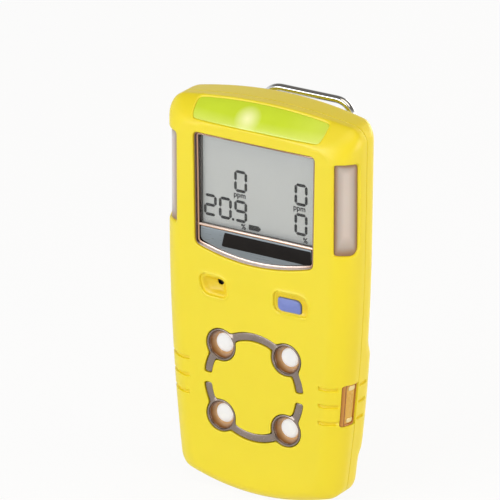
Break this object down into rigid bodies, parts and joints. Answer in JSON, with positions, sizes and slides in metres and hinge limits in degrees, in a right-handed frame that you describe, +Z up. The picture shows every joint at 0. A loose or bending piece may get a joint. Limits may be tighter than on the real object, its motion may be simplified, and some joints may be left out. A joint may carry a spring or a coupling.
{
  "type": "portable gas detector",
  "caption": "Handheld multi-gas detector: two-shell case with display, alarm lenses, filtered sensor ports, push button, charging recess and a sprung steel clip on the back.",
  "frame": {"origin": "where the clip's toothed jaw meets the lower edge of its base plate, at mid width", "axes": "+Z up the body towards the alarm lens, +Y out of the back towards the clip, the display faces -Y, metres"},
  "size_m": [0.0604, 0.0301, 0.1131],
  "materials": {
    "yellow_case": "moulded, softly glossy",
    "green_lens": "clear green, smooth",
    "frosted_lens": "clear, frosted",
    "bronze_frame": "bronze chromed",
    "clear_pane": "clear, smooth",
    "silver_plate": "silver printed",
    "display_glass": "grey liquid crystal",
    "white_plastic": "moulded",
    "lamp": "clear lamp body",
    "taupe_trim": "moulded, satin",
    "filter_membrane": "matt membrane",
    "polished_steel": "polished",
    "machine_steel": "plain machined",
    "brass_weight": "turned",
    "gilt_contact": "gilt",
    "circuit_board": "solder mask",
    "black_plastic": "moulded",
    "black_rubber": "moulded",
    "blue_button": "smooth",
    "amber_plastic": "clear amber",
    "battery_sleeve": "shrunk sleeve",
    "red_lead": "insulated wire",
    "black_lead": "insulated wire"
  },
  "bodies": {
    "housing": {"alarm_led_left": "lamp", "alarm_led_right": "lamp", "alarm_led_top_left": "lamp", "alarm_led_top_right": "lamp", "alarm_lens_left": "frosted_lens", "alarm_lens_right": "frosted_lens", "alarm_lens_top": "green_lens", "battery_lead_negative": "black_lead", "battery_lead_positive": "red_lead", "battery_pack": "battery_sleeve", "board_screw_1": "machine_steel", "board_screw_2": "machine_steel", "button_guide": "black_rubber", "buzzer": "black_plastic", "buzzer_gasket": "black_rubber", "case_screw_1": "machine_steel", "case_screw_2": "machine_steel", "case_screw_3": "machine_steel", "case_screw_4": "machine_steel", "case_screw_5": "machine_steel", "case_screw_6": "machine_steel", "charge_contact_1": "gilt_contact", "charge_contact_2": "gilt_contact", "charge_port": "amber_plastic", "clip_base": "polished_steel", "clip_pin": "polished_steel", "clip_screw": "polished_steel", "clip_spring": "polished_steel", "display_window": "clear_pane", "front_shell": "yellow_case", "gas_sensor_1": "white_plastic", "gas_sensor_2": "white_plastic", "gas_sensor_3": "white_plastic", "gas_sensor_4": "white_plastic", "housing_seal": "black_rubber", "key_switch": "black_plastic", "label_plate": "silver_plate", "lcd_backlight": "white_plastic", "lcd_holder": "white_plastic", "lcd_panel": "display_glass", "main_board": "circuit_board", "motor_sleeve": "black_rubber", "rear_shell": "yellow_case", "sensor_filter_1": "filter_membrane", "sensor_filter_2": "filter_membrane", "sensor_filter_3": "filter_membrane", "sensor_filter_4": "filter_membrane", "sensor_gasket": "black_rubber", "sensor_trim_lower": "taupe_trim", "sensor_trim_upper": "taupe_trim", "vibration_motor": "machine_steel", "window_frame": "bronze_frame"},
    "button": {"push_button": "blue_button", "switch_plunger": "white_plastic"},
    "clip": {"clip_jaw": "polished_steel", "thumb_loop": "polished_steel"},
    "motor_rotor": {"motor_shaft": "machine_steel", "eccentric_weight": "brass_weight"}
  },
  "joints": [
    {"name": "button_press", "type": "slide", "parent": "housing", "child": "button", "axis": [0, 1, 0], "range_m": [0, 0.0006], "stiffness_N_per_m": 2500, "springref_m": -0.0004},
    {"name": "clip_open", "type": "hinge", "parent": "housing", "child": "clip", "pos_m": [0, 0.00225, 0.0345], "axis": [1, 0, 0], "range_deg": [0, 18], "stiffness_Nm_per_rad": 0.35, "springref_deg": -34.38, "deforming": ["clip_spring"]},
    {"name": "motor_spin", "type": "hinge", "parent": "housing", "child": "motor_rotor", "pos_m": [-0.003, -0.0136, -0.0423], "axis": [1, 0, 0], "continuous": true}
  ]
}
